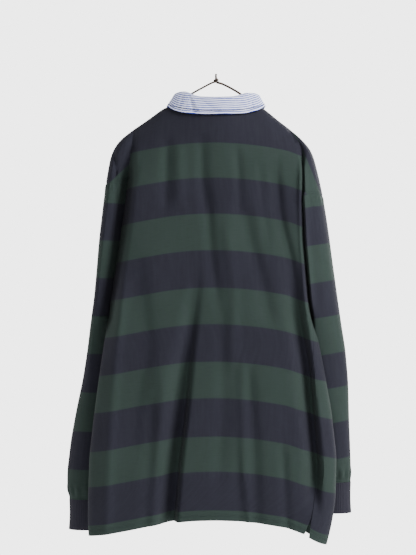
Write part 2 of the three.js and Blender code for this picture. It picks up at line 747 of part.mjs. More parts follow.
shirt.add(mesh('collar', collar(), cloth.shirting));
shirt.add(mesh('placket', placket(), cloth.placket));
buttonLevels.forEach((z, i) => {
  const piece = mesh(`button_${i + 1}`, button(), buttonMaterial);
  const surface = panelDepth('front', 0, z) - clothThickness / 2 - 0.3 - placketThickness - 0.4;
  piece.position.set(0, surface - 0.3, z);
  shirt.add(piece);
});
shirt.add(mesh('hanger', wire(hangerPath(), wireRadius, 8), wireMaterial));

// The hook's inner top is the origin, so the shirt hangs a little behind it
shirt.position.y = hookRadius + wireRadius;

export default shirt;
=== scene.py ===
import math

import bmesh
import bpy
import numpy as np
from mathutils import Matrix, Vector


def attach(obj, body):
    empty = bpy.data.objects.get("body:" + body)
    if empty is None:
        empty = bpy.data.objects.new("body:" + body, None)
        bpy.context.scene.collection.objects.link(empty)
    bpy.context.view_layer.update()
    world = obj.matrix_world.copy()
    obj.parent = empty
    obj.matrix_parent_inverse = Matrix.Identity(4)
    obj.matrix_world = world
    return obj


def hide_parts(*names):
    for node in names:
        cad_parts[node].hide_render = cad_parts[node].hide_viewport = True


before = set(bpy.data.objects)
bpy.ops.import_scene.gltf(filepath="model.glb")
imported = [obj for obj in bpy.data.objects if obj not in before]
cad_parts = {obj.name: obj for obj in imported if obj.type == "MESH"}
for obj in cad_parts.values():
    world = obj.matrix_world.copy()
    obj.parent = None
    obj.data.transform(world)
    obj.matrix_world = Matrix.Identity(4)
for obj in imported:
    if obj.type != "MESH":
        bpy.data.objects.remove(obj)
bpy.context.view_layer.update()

# The camera looks at the shirt's back from 3.5 m, level with its middle, as a catalogue
# picture is taken: +X, the wearer's left, is on the left of the frame.
view_distance = 3.5
view_height = 1.0795
shirt_middle = (0.0156, 0.0095, -0.3939)
camera_data = bpy.data.cameras.new("camera")
camera_data.sensor_fit = "VERTICAL"
camera_data.sensor_height = 36
camera_data.lens = 36 * view_distance / view_height
camera = bpy.data.objects.new("camera", camera_data)
camera.location = (shirt_middle[0], view_distance + shirt_middle[1], shirt_middle[2])
camera.rotation_euler = (math.pi / 2, 0, math.pi)
bpy.context.scene.collection.objects.link(camera)
bpy.context.scene.camera = camera

# The back and the front are each one piece of heavy striped jersey. They hang from the wire at the
# shoulders, drop over the hanger's tips as far as the armhole seams, and fall in folds to the hem.
# Sizes are in millimetres from the hook.
mm = 0.001
hang_shift = 9.5
cloth_thickness = 1.4
back_depth, back_crown = 46, 0.12
front_depth, front_crown = 42, 0.36
drape_reach = 132
neck_half_width = 80
neck_level = {"back": -70, "front": -128}
underarm_level = -470
valley_gap = 0.8

# The shirt's outline: height, the left side's reach and the right side's.
outline_rows = [
    (-13, 0, 0), (-24, 22, 26), (-35, 46, 46), (-57, 84, 78), (-68, 105, 95), (-88, 132, 119),
    (-107, 160, 144), (-127, 187, 167), (-146, 200, 184), (-165, 206, 191), (-204, 213, 201),
    (-243, 218, 209), (-321, 227, 221), (-438, 239, 237), (-477, 245, 243), (-536, 254, 254),
    (-596, 264, 260), (-656, 276, 263), (-716, 287, 266), (-776, 294, 268), (-836, 293, 266),
]
# The body's own edge beside the sleeves: height, left reach, right reach.
body_edge_rows = [
    (-107, 160, 144), (-130, 161, 160), (-147, 164, 168), (-200, 171, 168), (-244, 177, 168),
    (-321, 188, 171), (-438, 206, 181), (-470, 210, 187), (-515, 216, 198), (-583, 226, 211),
    (-651, 235, 223), (-738, 245, 233), (-826, 248, 231), (-870, 248, 222), (-910, 246, 212),
]
# The body's sides: height, their middle (forward is negative), how broadly they turn, how round they are.
body_side_rows = [
    (-107, 0, 12, 0), (-200, -8, 20, 0), (-300, -14, 26, 0), (-470, -28, 28, 0), (-485, -12, 29, 0),
    (-500, 0, 30, 0.1), (-540, 8, 34, 0.5), (-600, 8, 42, 1), (-910, 8, 46, 1),
]
# The side seams below the underarm: height, left reach, right reach.
side_seam_rows = [
    (-470, 210, 187), (-515, 209, 188), (-583, 192, 184), (-640, 183, 187), (-700, 181, 193),
    (-766, 181, 198), (-840, 180, 186), (-910, 178, 172),
]
# How far each stripe droops towards the sides: place across, fall.
droop_rows = [
    (-240, 47), (-185, 33), (-138, 15), (-92, 7), (-46, 2), (0, 0), (46, 1), (92, 6), (138, 14),
    (185, 23), (250, 34),
]
stripe_levels = [-134.7, -201.9, -271, -341.1, -413.1, -483.2, -555.2, -625.3, -699.2, -766.4, -840.3, -911]


def fair(rows, column, soften=9.0):
    """A smooth curve through one column of a table, read by the table's first column."""
    rows = sorted(rows)
    places = np.array([row[0] for row in rows], float)
    values = np.array([row[column] for row in rows], float)
    fine = np.arange(places[0], places[-1] + 1)
    reach = int(3 * soften)
    kernel = np.exp(-(np.arange(-reach, reach + 1) / soften) ** 2 / 2)
    line = np.interp(fine, places, values)
    start = 2 * line[0] - line[reach:0:-1]
    end = 2 * line[-1] - line[-2:-reach - 2:-1]
    smoothed = np.convolve(np.concatenate([start, line, end]), kernel / kernel.sum(), "valid")
    return lambda place: np.interp(place, fine, smoothed)


outline = {"left": fair(outline_rows, 1), "right": fair(outline_rows, 2)}
body_edge = {"left": fair(body_edge_rows, 1), "right": fair(body_edge_rows, 2)}
side_seam = {"left": fair(side_seam_rows, 1), "right": fair(side_seam_rows, 2)}
side_middle, side_rounding, side_softness = [fair(body_side_rows, column) for column in (1, 2, 3)]
droop = fair(droop_rows, 1)
ridge = {
    side: fair([(row[column], row[0]) for row in outline_rows[:-1]], 1, 5)
    for side, column in (("left", 1), ("right", 2))
}


def by_side(x, curves, z):
    return np.where(x >= 0, curves["left"](z), curves["right"](z))


def ridge_height(x):
    away = np.where(np.abs(x) < 40, 20 + x ** 2 / 80, np.abs(x))
    blend = smooth_step(x / 80 + 0.5)
    return blend * ridge["left"](away) + (1 - blend) * ridge["right"](away)


def smooth_step(t):
    t = np.clip(t, 0, 1)
    return t * t * (3 - 2 * t)


def dome(t):
    return np.sqrt(1 - (1 - np.clip(t, 0, 1)) ** 2)


# Each fold: depth into the cloth (a ridge is negative), width, how much wider its left flank is,
# fade at its ends, and its line down the cloth as (height, place across). The two deep folds begin
# at their first height with flanks more alike, and take their full lean further down.
deep_fold, deepest_fold, dense_fold = 25, 33, 9
folds = {
    "back": [
        (34, 6, 3.8, 400, [(-340, 32), (-437, 41), (-541, 53), (-644, 60), (-746, 72), (-1060, 100)]),
        (5.5, 8, 1.4, 90, [(-190, -117), (-278, -124), (-354, -144), (-418, -153), (-500, -166)]),
        (32, 5.5, 2.6, 300, [(-330, -145), (-466, -160), (-555, -178), (-690, -192), (-770, -199),
                           (-812, -193)]),
        (4, 9, 0.4, 70, [(-225, 16), (-300, 12), (-366, 7), (-440, -4)]),
        (4, 11, 0, 50, [(-134, 94), (-260, 97)]),
        (4, 11, 0, 50, [(-134, 27), (-260, 24)]),
        (4, 15, 0.6, 70, [(-374, 150), (-450, 140), (-528, 130), (-620, 150), (-720, 158)]),
        (5, 14, 0.5, 60, [(-259, -54), (-330, -66), (-400, -88), (-480, -104)]),
        (3, 3, 5, 120, [(-740, -44), (-768, -46), (-900, -62)]),
        (5, 12, 1.2, 60, [(-576, -62), (-700, -72), (-900, -80)]),
        (-5, 12, 0, 90, [(-430, 182), (-526, 192), (-640, 202), (-900, 214)]),
        (-4, 16, 0, 80, [(-560, 104), (-700, 100), (-900, 112)]),
        (4, 10, 0.5, 60, [(-640, 122), (-760, 128), (-900, 136)]),
        (4, 9, 0, 50, [(-720, -128), (-800, -132), (-900, -138)]),
        (-4, 10, 0, 60, [(-560, -50), (-720, -54), (-900, -60)]),
        (-3, 11, 0, 40, [(-140, 72), (-250, 70)]),
        (3, 9, 0, 40, [(-150, -40), (-230, -46), (-270, -44)]),
        (2, 9, 0, 50, [(-180, -84), (-240, -88), (-320, -100)]),
        (-3, 12, 0, 60, [(-300, -20), (-420, -34), (-560, -30)]),
        (3, 14, 0, 90, [(-470, -10), (-620, -14), (-800, -6)]),
    ],
    "front": [
        (12, 17, 0.3, 90, [(-330, 62), (-600, 78), (-940, 96)]),
        (13, 17, 0.2, 90, [(-380, -70), (-600, -88), (-940, -104)]),
        (8, 18, 0, 90, [(-500, 8), (-940, -6)]),
        (8, 13, 0.4, 60, [(-240, 118), (-440, 140)]),
        (8, 13, 0.4, 60, [(-240, -112), (-440, -128)]),
        (4, 11, 0, 60, [(-180, 60), (-300, 66)]),
        (4, 10, 0, 60, [(-190, -56), (-310, -60)]),
        (6, 14, 0.5, 70, [(-480, 142), (-620, 150), (-940, 156)]),
        (5, 12, 0.5, 70, [(-520, -140), (-700, -148), (-940, -150)]),
        (-4, 15, 0, 80, [(-560, 40), (-940, 44)]),
        (3, 12, 0, 60, [(-700, -40), (-940, -44)]),
    ],
}
fold_lines = {
    face: [(depth, width, lean, fade, line[0][0], line[-1][0], fair(line, 1, 16))
           for depth, width, lean, fade, line in rows]
    for face, rows in folds.items()
}


def fold_depth(face, x, z):
    total = np.zeros_like(x)
    for depth, width, lean, fade, top, bottom, line in fold_lines[face]:
        end = min(fade, 100)
        start = top if depth > deep_fold else top + fade / 2
        strength = smooth_step((start - z) / fade) * smooth_step((z - bottom + end / 2) / end)
        across = x - line(z)
        opening = 1 + 0.9 * (1 - strength) * (depth > deep_fold)
        narrow = 1 - 0.5 * (1 - strength) * (depth > deepest_fold)
        span = width * np.where(across > 0, (1 + lean) * narrow, opening)
        total += strength * depth * np.exp(-np.abs(across / span) ** (2.4 if depth > deep_fold else 2))
    return total


def undulation(x, z, phase):
    """Slow unevenness that hanging jersey has between its folds."""
    tall = np.sin(x / 13 + 1.6 * np.sin(z / 97 + phase) + phase)
    broad = np.sin(x / 29 - z / 160 + 2.1 * phase)
    slant = np.sin(x / 19 + z / 61 + 3.3 * phase) * np.sin(z / 83 - phase)
    return 0.3 * tall * np.sin(z / 120 + x / 90) + 1.1 * broad + 0.5 * slant


def valley_shift(x, z):
    """How much deeper the valley beside the left sleeve is, and how much shallower the right one."""
    started = smooth_step((-160 - z) / 50)
    deeper = 1.6 * np.clip(sleeve_opening(z) - 2.5, 0, 13) * started
    shallower = -12 * started * smooth_step((z + 478) / 60)
    away = np.abs(x) - by_side(x, body_edge, z)
    return np.where(x > 0, deeper, shallower) * np.exp(-(away / np.where(x > 0, 12.5, 8)) ** 2)


def panel_depth(face, x, z):
    """How far the panel stands behind (+) or before (-) the hanger at a place on it."""
    sign, depth, crown = (1, back_depth, back_crown) if face == "back" else (-1, front_depth, front_crown)
    edge = by_side(x, body_edge, z)
    y = sign * depth * dome((ridge_height(x) - z) / drape_reach) * (1 - crown * (x / edge) ** 2)
    loose = smooth_step((ridge_height(x) - z) / 60)
    y = y - sign * fold_depth(face, x, z) + sign * loose * undulation(x, z, 0.4 if face == "back" else 2.2)
    above = z > underarm_level
    floor = np.where(above, sleeve_middle(z) + sign * sleeve_opening(z), side_middle(z))
    crisp = smooth_step((z + 620) / 150) * smooth_step((-120 - z) / 40) * (face == "back") * (x < 0)
    t = (edge - np.abs(x)) / (side_rounding(z) * (1 - 0.55 * crisp))
    wall = 1 - (1 - np.clip(t, 0, 1)) ** 2.2
    rounded = floor + (y - floor) * (wall + (dome(t) - wall) * side_softness(z))
    return np.where(t >= 1, y, rounded) - (valley_shift(x, z) if face == "back" else 0)


# The sleeve's oval stands with the panels, because their edges meet in one valley: height, half
# depth front to back, middle, half the armhole's opening, and how pointed the inside is.
sleeve_rows = [
    (-107, 1, 0, 1, 1), (-115, 14, 0, 14, 1), (-134, 24, -1, 22, 1), (-165, 33, -4, 22, 1),
    (-204, 40, -8, 21, 1), (-243, 46, -10, 20, 1), (-321, 50, -16, 15, 1), (-400, 50, -22, 8, 1),
    (-470, 48, -28, 1.2, 1), (-500, 47, -36, 0, 0.9), (-540, 45, -48, 0, 0.5), (-600, 42, -60, 0, 0),
    (-700, 38, -68, 0, 0), (-780, 34, -74, 0, 0), (-840, 30, -76, 0, 0),
]
sleeve_depth, sleeve_middle, sleeve_opening, sleeve_point = [fair(sleeve_rows, c, 5) for c in (1, 2, 3, 4)]


def body_points(face, level, turn, inset=0.0):
    """Places on the body's closed section: turn runs -1 to 1 over the back and 1 to 3 over the front."""
    across = np.sin(turn * np.pi / 2)
    z = level + 0 * across
    for _ in range(8):
        edge = np.where(across > 0, body_edge["left"](z), body_edge["right"](z)) - inset
        x = across * edge
        z = level - droop(x)
    return np.stack([x, panel_depth(face, x, z), z], -1)


def seam_turn(level, side):
    """Where a side seam crosses each cloth level, below the underarm."""
    low = np.full_like(level, -1.0 if side == "right" else 1.8)
    high = np.full_like(level, -0.2 if side == "right" else 1.0)
    for _ in range(24):
        middle = (low + high) / 2
        point = body_points("back", level, middle)
        beyond = np.abs(point[..., 0]) > side_seam[side](point[..., 2])
        keep_low = beyond if side == "right" else ~beyond
        low, high = np.where(keep_low, middle, low), np.where(keep_low, high, middle)
    return (low + high) / 2


def neck_edge(face, x):
    """The panel's cut edge round the neck and along the shoulder."""
    reach = np.minimum(1, np.abs(x) / neck_half_width)
    shoulder = ridge_height(np.sign(x + 1e-9) * neck_half_width)
    power = 6 if face == "back" else 3
    neck = neck_level[face] + (shoulder - neck_level[face]) * reach ** power
    z = np.where(reach < 1, neck, ridge_height(x))
    sign = 1 if face == "back" else -1
    overlap = np.where(reach < 1, 0.2, -0.3)
    return np.stack([x, sign * (np.abs(panel_depth(face, x, z)) + overlap), z], -1)


def stripe_place(level):
    """Counts the stripes down the cloth: whole numbers are the lines between two colours."""
    below = np.interp(-level, -np.array(stripe_levels), np.arange(len(stripe_levels)))
    return np.where(level > stripe_levels[0], np.maximum((stripe_levels[0] - level) / 70, -0.9), below)


first_level = -172
hem_level = -860.5
hem_top = -842
vent_top, vent_length = -838, 60
# Seams and vents are in quarter turns round the body.
seam_gap = 0.0016
left_vent = 0.014
right_vent = {"back": 0.046, "front": 0.014}
front_corner_drop = 10
fan_rows, level_rows, across_columns = 34, 140, 216


def panel_grid(face):
    """The panel's main stretch: rows that fan down from its cut edge, then follow the cloth's levels."""
    sign = 1 if face == "back" else -1
    level = np.concatenate([
        np.linspace(first_level, hem_top + 5, level_rows), np.linspace(hem_top + 3.5, hem_top - 2, 8),
        np.linspace(hem_top - 4, hem_level, 9),
    ])[:, None]
    open_rows = level[:, 0] - droop(200.0) > underarm_level
    start = np.where(open_rows, -1.0, seam_turn(level[:, 0], "right"))
    end = np.where(open_rows, 1.0, seam_turn(level[:, 0], "left"))
    if face == "front":
        start, end = end, start + 4
    vent = smooth_step((vent_top - level[:, 0] + 20) / vent_length)
    vents = (right_vent[face], left_vent) if face == "back" else (left_vent, right_vent[face])
    start = start + np.where(open_rows, 0, seam_gap + vents[0] * vent)
    end = end - np.where(open_rows, 0, seam_gap + vents[1] * vent)
    spread = np.linspace(0, 1, across_columns + 1)
    first_turn = -1 if face == "back" else 1
    turns = first_turn + 2 * spread + (start - first_turn)[:, None] * (1 - spread) ** 5
    turns = turns + (end - first_turn - 2)[:, None] * spread ** 5
    place = body_points(face, level + 0 * turns, turns)
    closeness = 1.0 + 0 * turns
    for depth, width, lean, fade, top_end, low_end, line in fold_lines[face]:
        if depth > dense_fold:
            z = place[..., 2]
            present = smooth_step((top_end + fade - z) / fade) * smooth_step((z - low_end + fade) / fade)
            closeness += 2.2 * present * np.exp(-((place[..., 0] - line(z)) / 13) ** 2)
    summed = np.cumsum(closeness, axis=1)
    summed = (summed - summed[:, :1]) / (summed[:, -1:] - summed[:, :1])
    turns = np.stack([np.interp(spread, row, old) for row, old in zip(summed, turns)])
    turn = turns[0]
    across = np.sin(turn * np.pi / 2)
    top = neck_edge(face, across * np.where(across > 0, 160, 144))
    low = body_points(face, np.full_like(turn, first_level), turn)
    down = (np.arange(fan_rows)[:, None] / fan_rows) ** 1.5
    z = top[:, 2] + (low[:, 2] - top[:, 2]) * down
    x = top[:, 0] + (low[:, 0] - top[:, 0]) * down
    x[:, 0] = np.sign(x[0, 0]) * by_side(x[:, 0], body_edge, z[:, 0])
    x[:, -1] = np.sign(x[0, -1]) * by_side(x[:, -1], body_edge, z[:, -1])
    fan = np.stack([x, panel_depth(face, x, z) - sign * 0.3 * (1 - down) ** 4, z], -1)
    fan[0] = top
    fan_level = z + droop(x)
    inset = np.where(open_rows & (level[:, 0] < -215), valley_gap, 0)[:, None]
    own = body_points(face, level + 0 * turns, turns, inset)
    other = body_points("front" if face == "back" else "back", level + 0 * turns, turns, inset)
    on_other = (turns > 1) if face == "back" else (turns > 3)
    points = np.where(on_other[..., None], other, own)
    hem_line = np.exp(-((level - hem_top + 1) / 1.3) ** 2)
    turned_up = smooth_step((hem_top - level + 1.2) / 2.4) - 0.9 * hem_line
    points[..., 1] += sign * 0.9 * turned_up
    if face == "front":
        beside_vent = smooth_step((-155 - points[..., 0]) / 58) * smooth_step((-800 - points[..., 2]) / 70)
        points[..., 2] -= front_corner_drop * beside_vent
    points = np.concatenate([fan, points])
    levels = np.concatenate([fan_level, level + 0 * turns])
    step = np.linalg.norm(np.diff(points, axis=1), axis=-1)
    run = np.concatenate([np.zeros((len(points), 1)), np.cumsum(step, axis=1)], axis=1)
    run = run - run[:, [across_columns // 2]]
    return points, np.stack([run * mm, stripe_place(levels)], -1)


def sleeve_start(z):
    ratio = np.clip(sleeve_opening(z) / sleeve_depth(z), 0, 1)
    return np.arcsin(ratio ** (1 / (1 + sleeve_point(z))))


# The left sleeve's back sinks beside the valley and has one crease. Each sleeve's highest line lies
# off its middle, outwards where the shift is negative.
sleeve_dip, crease_depth = 15, 4.5
highest_line_shift = {"left": -0.24, "right": 0.4}
# The inner edge of each sleeve below the underarm: height, left reach, right reach.
sleeve_inner_rows = [
    (-107, 160, 144), (-470, 204, 186), (-540, 207, 188), (-600, 207, 188), (-700, 213, 191),
    (-780, 222, 198), (-840, 226, 203),
]
sleeve_inner = {"left": fair(sleeve_inner_rows, 1), "right": fair(sleeve_inner_rows, 2)}


def sleeve_points(side, z, angle, tuck=0.0):
    """Places round the sleeve: angle 0 is its inner edge and pi its outer edge, by way of the back."""
    sign = 1 if side == "left" else -1
    outer = outline[side](z)
    inner = np.where(z > underarm_level, body_edge[side](z) + valley_gap - tuck, sleeve_inner[side](z))
    start = sleeve_start(z)
    sunk = smooth_step((-135 - z) / 50) * smooth_step((z + 720) / 200)
    outer_part = 0.5 + highest_line_shift[side] * sunk
    ridge_place = outer - (outer - inner) * outer_part
    inner_part = (ridge_place - inner) / np.cos(start)
    rise = np.sin(angle)
    power = np.where(np.cos(angle) > 0, 1 + sleeve_point(z), 1)
    y = sleeve_middle(z) + sleeve_depth(z) * np.sign(rise) * np.abs(rise) ** power
    if side == "left":
        shaded = smooth_step((-125 - z) / 45) * smooth_step((z + 770) / 220)
        kept = sleeve_opening(z) / sleeve_depth(z)
        dip = np.where(np.cos(angle) > 0, np.clip(rise, 0, 1) ** power - kept, (1 - kept) * rise)
        y = y - sleeve_dip * shaded * (rise > 0) * dip
    span = np.where(np.cos(angle) > 0, inner_part, outer - ridge_place)
    x = sign * (ridge_place - span * np.cos(angle))
    y = y - valley_shift(x, z) * (rise > 0)
    if side == "left":
        crease = smooth_step((-130 - z) / 30) * smooth_step((z + 285) / 60)
        away = (x - np.interp(-z, (150, 244, 285), (197, 191, 190))) / 3
        y = y - crease_depth * crease * np.exp(-away ** 2) * (rise > 0)
    return np.stack([x, y, z + 0 * x], -1)


# Where the drop shoulder ends, and the line between its two colours, which slopes down the arm:
# a place on it, and the way that the cloth's levels fall there.
tab_end = {"left": -212, "right": -235}
tab_stripe = {"left": ((165, -170), (-0.71, -0.71)), "right": ((-172.6, -160.6), (0.92, -0.38))}


def tab_grid(face, side, main):
    """The part of a panel that hangs over the hanger's tip, from the valley out to the shoulder seam."""
    column = -1 if (side == "left") == (face == "back") else 0
    rows = int(np.argmin(np.abs(main[:, column, 2] - tab_end[side]))) + 1
    valley = main[:rows, column]
    sign = 1 if face == "back" else -1
    t = np.linspace(0, 1, 25)[None, :]
    z = valley[:, 2][:, None] + 0 * t
    angle = sleeve_start(z) + (np.pi - sleeve_start(z)) * t
    points = sleeve_points(side, z, sign * angle)
    points[..., 0] += (-1 if side == "left" else 1) * valley_gap * (1 - t)
    points[..., 1] -= sign * 0.3 * t
    points[-1, :, 0] -= (1 if side == "left" else -1) * 0.7 * t[0] ** 2
    points[-1, :, 1] -= sign * 0.7 * np.sin(np.pi * t[0])
    points[:, 0] = valley
    points[0] = valley[0]
    (x0, z0), (dx, dz) = tab_stripe[side]
    fall = (points[..., 0] - x0) * dx + (points[..., 2] - z0) * dz
    uv = np.stack([t * 0.06 + 0 * z, np.clip(fall / 70.5, -0.95, 0.95)], -1)
    if (face == "back") != (side == "left"):
        points, uv = points[:, ::-1], uv[:, ::-1]
    return points, uv


def cloth_piece(name, grids, thickness, merge=0.00002):
    """Welds grids of places (mm) into one sheet, gives it thickness, and keeps its cloth map."""
    mesh = bpy.data.meshes.new(name)
    places, faces, maps = [], [], []
    for points, uv in grids:
        first = sum(len(p) for p in places)
        rows, columns = points.shape[:2]
        places.append((points * mm + np.array([0, hang_shift * mm, 0])).reshape(-1, 3))
        maps.append(uv.reshape(-1, 2))
        index = first + np.arange(rows * columns).reshape(rows, columns)
        quads = np.stack([index[:-1, :-1], index[:-1, 1:], index[1:, 1:], index[1:, :-1]], -1)
        faces.append(quads.reshape(-1, 4))
    mesh.from_pydata(np.concatenate(places).tolist(), [], np.concatenate(faces).tolist())
    layer = mesh.uv_layers.new(name="cloth")
    corners = np.zeros(len(mesh.loops), int)
    mesh.loops.foreach_get("vertex_index", corners)
    layer.data.foreach_set("uv", np.concatenate(maps)[corners].astype(np.float32).ravel())
    sheet = bmesh.new()
    sheet.from_mesh(mesh)
    bmesh.ops.remove_doubles(sheet, verts=sheet.verts, dist=merge)
    bmesh.ops.dissolve_degenerate(sheet, edges=sheet.edges, dist=merge)
    sheet.to_mesh(mesh)
    sheet.free()
    piece = bpy.data.objects.new(name, mesh)
    bpy.context.scene.collection.objects.link(piece)
    bpy.ops.object.select_all(action="DESELECT")
    bpy.context.view_layer.objects.active = piece
    piece.select_set(True)
    solid = piece.modifiers.new("thickness", "SOLIDIFY")
    solid.thickness = thickness * mm
    solid.offset = 0
    bpy.ops.object.modifier_apply(modifier=solid.name)
    bpy.ops.object.shade_smooth_by_angle(angle=math.radians(55))
    return piece


def finish_node(material, kind, **settings):
    node = material.node_tree.nodes.new(kind)
    for name, value in settings.items():
        if name in node.inputs:
            node.inputs[name].default_value = value
        else:
            setattr(node, name, value)
    return node


def join(material, source, socket, target, name):
    material.node_tree.links.new(source.outputs[socket], target.inputs[name])


def maths(material, operation, first, second=None, third=None, clamp=False):
    node = finish_node(material, "ShaderNodeMath", operation=operation, use_clamp=clamp)
    for place, value in enumerate((first, second, third)):
        if value is None:
            continue
        if isinstance(value, (int, float)):
            node.inputs[place].default_value = value
        else:
            material.node_tree.links.new(value, node.inputs[place])
    return node.outputs[0]


def new_finish(name, roughness, sheen=0.0):
    material = bpy.data.materials.new(name)
    material.use_nodes = True
    shader = material.node_tree.nodes["Principled BSDF"]
    shader.inputs["Roughness"].default_value = roughness
    shader.inputs["Specular IOR Level"].default_value = 0.1
    shader.inputs["Sheen Weight"].default_value = sheen
    shader.inputs["Sheen Roughness"].default_value = 0.5
    return material, shader


def map_places(material):
    """The two directions of the piece's cloth map, in metres or stripes."""
    place = finish_node(material, "ShaderNodeUVMap", uv_map="cloth")
    split = finish_node(material, "ShaderNodeSeparateXYZ")
    join(material, place, "UV", split, "Vector")
    return split.outputs["X"], split.outputs["Y"]


def mottle(material, scale, detail):
    """Unevenness that belongs to a place on the piece."""
    own = finish_node(material, "ShaderNodeTexCoord")
    noise = finish_node(material, "ShaderNodeTexNoise", Scale=scale, Detail=detail)
    join(material, own, "Object", noise, "Vector")
    return noise.outputs[0]


def drawn_mottle(material, u, v, across, along):
    """Unevenness drawn out along the cloth: how often it changes across the cloth and along it."""
    drawn = finish_node(material, "ShaderNodeCombineXYZ")
    material.node_tree.links.new(maths(material, "MULTIPLY", u, across), drawn.inputs["X"])
    material.node_tree.links.new(maths(material, "MULTIPLY", v, along), drawn.inputs["Y"])
    noise = finish_node(material, "ShaderNodeTexNoise", Scale=1.0, Detail=2.0)
    join(material, drawn, "Vector", noise, "Vector")
    return noise.outputs[0]


def raise_pattern(material, shader, height, strength, distance):
    bump = finish_node(material, "ShaderNodeBump", Strength=strength, Distance=distance)
    material.node_tree.links.new(height, bump.inputs["Height"])
    join(material, bump, "Normal", shader, "Normal")


def mix_colours(material, amount, first, second):
    node = finish_node(material, "ShaderNodeMix", data_type="RGBA")
    if isinstance(amount, (int, float)):
        node.inputs["Factor"].default_value = amount
    else:
        material.node_tree.links.new(amount, node.inputs["Factor"])
    for name, value in (("A", first), ("B", second)):
        socket = [s for s in node.inputs if s.name == name and s.type == "RGBA"][0]
        if isinstance(value, tuple):
            socket.default_value = (*value, 1)
        else:
            material.node_tree.links.new(value, socket)
    return [s for s in node.outputs if s.type == "RGBA"][0]


def stitch_thread(name, lines, thickness, length, gap, finish, node):
    """Rows of raised stitches: each line is its places (mm) and the way out of the cloth there."""
    mesh = bpy.data.meshes.new(name)
    corners, faces = [], []
    for places, outward in lines:
        run = np.concatenate([[0], np.cumsum(np.linalg.norm(np.diff(places, axis=0), axis=1))])
        starts = np.arange(0.5, run[-1] - length, length + gap)
        at = [np.stack([np.interp(starts + part * length, run, places[:, k]) for k in range(3)], -1)
              for part in (0, 0.5, 1)]
        out = np.stack([np.interp(starts, run, outward[:, k]) for k in range(3)], -1)
        out /= np.linalg.norm(out, axis=-1)[:, None]
        across = np.cross(at[2] - at[0], out)
        across /= np.linalg.norm(across, axis=-1)[:, None]
        half = thickness / 2
        rings = []
        for place, lift, wide in ((at[0], 0, 0.5), (at[1], half, 1), (at[2], 0, 0.5)):
            beside = across * half * wide
            rings += [place + beside, place + out * (lift + half * 0.6), place - beside]
        block = np.stack(rings, 1)
        first = sum(len(c) for c in corners)
        corners.append(block.reshape(-1, 3))
        index = first + np.arange(len(block))[:, None] * 9
        for a, b in ((0, 3), (3, 6)):
            for k, m in ((0, 1), (1, 2), (2, 0)):
                faces.append(np.concatenate([index + a + k, index + b + k, index + b + m, index + a + m], 1))
    places = np.concatenate(corners) * mm + np.array([0, hang_shift * mm, 0])
    mesh.from_pydata(places.tolist(), [], np.concatenate(faces).tolist())
    threads = bpy.data.objects.new(name, mesh)
    bpy.context.scene.collection.objects.link(threads)
    mesh.materials.append(finish)
    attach(threads, "root")
    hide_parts(node)


def grid_side(grid, face):
    """1 or -1, so that the way out of the cloth points away from the wearer."""
    row, column = len(grid) // 2, grid.shape[1] // 2
    along = grid[row, column + 1] - grid[row, column - 1]
    down = grid[row + 1, column] - grid[row - 1, column]
    out = np.cross(down, along)[1]
    return 1.0 if (out > 0) == (face == "back") else -1.0


def cloth_line(grid, row_place, side=1.0, lift=0.75):
    """A line across a grid of cloth at a row, which may fall between two, just above its surface."""
    row = int(row_place)
    part = row_place - row
    places = grid[row] * (1 - part) + grid[min(row + 1, len(grid) - 1)] * part
    along = np.gradient(grid[row], axis=0)
    down = grid[min(row + 1, len(grid) - 1)] - grid[max(row - 1, 0)]
    outward = np.cross(down, along) * side
    outward /= np.maximum(np.linalg.norm(outward, axis=-1), 1e-6)[:, None]
    return places + outward * lift, outward


green_yarn = (0.0116, 0.0196, 0.0160)
navy_yarn = (0.0070, 0.0064, 0.0118)
faded_tone, shaded_tone, worn_tone = (0.020, 0.024, 0.026), (0.004, 0.005, 0.006), (0.022, 0.025, 0.032)
wale = 0.0012
stripe_width = 0.0705


def jersey_finish(name):
    """Heavy jersey: stripes counted down the cloth map, with its wales, courses and a little nap."""
    material, shader = new_finish(name, 0.92, 0.01)
    u, v = map_places(material)
    wander = maths(material, "MULTIPLY_ADD", mottle(material, 900.0, 1.0), 0.012, -0.006)
    count = maths(material, "ADD", v, wander)
    phase = maths(material, "PINGPONG", maths(material, "ADD", count, 0.5), 1)
    soft = maths(material, "MULTIPLY_ADD", phase, 90, -44.5, clamp=True)
    fade = mottle(material, 14.0, 3.0)
    green = mix_colours(material, fade, green_yarn, tuple(1.16 * c for c in green_yarn))
    navy = mix_colours(material, fade, navy_yarn, tuple(1.16 * c for c in navy_yarn))
    stripes = mix_colours(material, soft, navy, green)
    flecks = mottle(material, 1500.0, 2.0)
    lift = maths(material, "MULTIPLY_ADD", flecks, 0.5, -0.12, clamp=True)
    faded = mix_colours(material, lift, stripes, faded_tone)
    slubs = drawn_mottle(material, u, v, 45, 62)
    slubby = maths(material, "MULTIPLY_ADD", slubs, 1.5, -0.62, clamp=True)
    cloth = mix_colours(material, maths(material, "MULTIPLY", slubby, 0.42), faded, shaded_tone)
    streaks = drawn_mottle(material, u, v, 170, 1.4)
    streaky = maths(material, "MULTIPLY_ADD", streaks, 1.8, -0.7, clamp=True)
    worn = mix_colours(material, maths(material, "MULTIPLY", streaky, 0.18), cloth, worn_tone)
    material.node_tree.links.new(worn, shader.inputs["Base Color"])
    wales = maths(material, "SINE", maths(material, "MULTIPLY", u, 2 * math.pi / wale))
    courses_a_stripe = stripe_width / (0.8 * wale)
    courses = maths(material, "SINE", maths(material, "MULTIPLY", v, 2 * math.pi * courses_a_stripe))
    knit = maths(material, "MULTIPLY_ADD", courses, 0.5, wales)
    nap = maths(material, "MULTIPLY_ADD", flecks, 1.6, knit)
    raise_pattern(material, shader, nap, 0.35, 0.0002)
    return material


